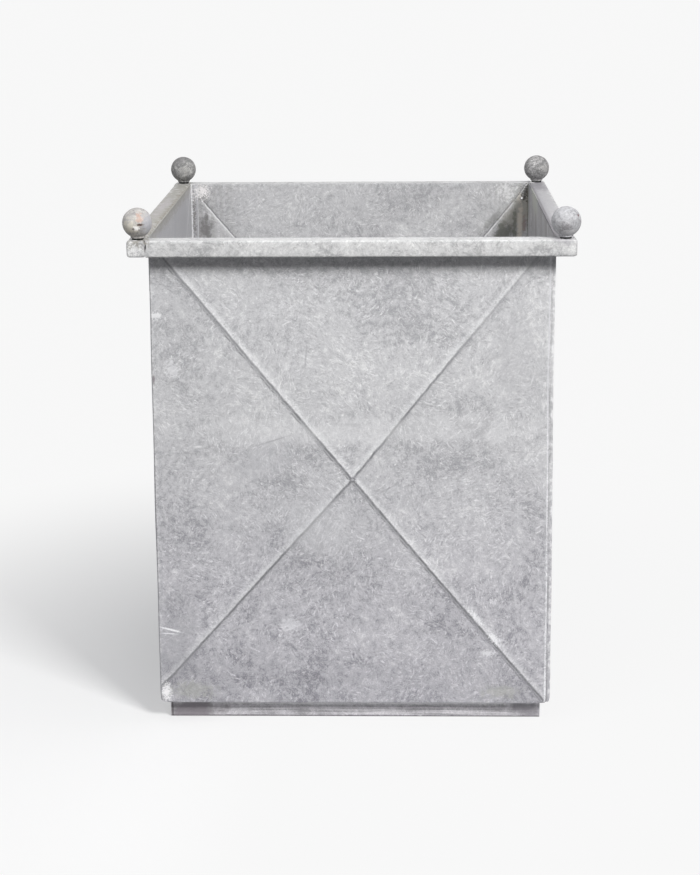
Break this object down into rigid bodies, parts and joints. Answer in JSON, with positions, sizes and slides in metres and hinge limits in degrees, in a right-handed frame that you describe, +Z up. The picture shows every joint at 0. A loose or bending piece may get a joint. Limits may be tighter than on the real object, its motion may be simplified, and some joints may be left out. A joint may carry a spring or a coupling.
{
  "type": "versailles planter",
  "caption": "Square open-topped sheet metal planter with cross-broken walls, a tubular rim, ball finials at its corners and a recessed plinth with a drained floor.",
  "frame": {"origin": "on the ground under the middle of the planter", "axes": "+Z up, -Y towards the front wall that the picture shows, +X to its right"},
  "size_m": [0.6216, 0.6216, 0.7504],
  "materials": {
    "wall_zinc": "weathered matt zinc with a pale swirled patina",
    "rim_zinc": "weathered matt zinc, paler than the walls",
    "finial_zinc": "dark weathered zinc with pale mottling",
    "plinth_zinc": "weathered zinc with streaks along it",
    "pan_zinc": "matt zinc",
    "solder": "bright lapped solder",
    "plated_steel": "zinc-plated",
    "seal_rubber": "matt black"
  },
  "bodies": {
    "root": {"front_wall": "wall_zinc", "right_wall": "wall_zinc", "back_wall": "wall_zinc", "left_wall": "wall_zinc", "front_rim_rail": "rim_zinc", "right_rim_rail": "rim_zinc", "back_rim_rail": "rim_zinc", "left_rim_rail": "rim_zinc", "front_rail_cap": "rim_zinc", "right_rail_cap": "rim_zinc", "back_rail_cap": "rim_zinc", "left_rail_cap": "rim_zinc", "finial_front_right": "finial_zinc", "finial_back_right": "finial_zinc", "finial_back_left": "finial_zinc", "finial_front_left": "finial_zinc", "finial_studs": "plated_steel", "sealing_washers": "seal_rubber", "captive_nuts": "plated_steel", "floor_pan": "pan_zinc", "front_plinth_side": "plinth_zinc", "right_plinth_side": "plinth_zinc", "back_plinth_side": "plinth_zinc", "left_plinth_side": "plinth_zinc", "seam_front_right": "solder", "seam_back_right": "solder", "seam_back_left": "solder", "seam_front_left": "solder"}
  },
  "joints": []
}
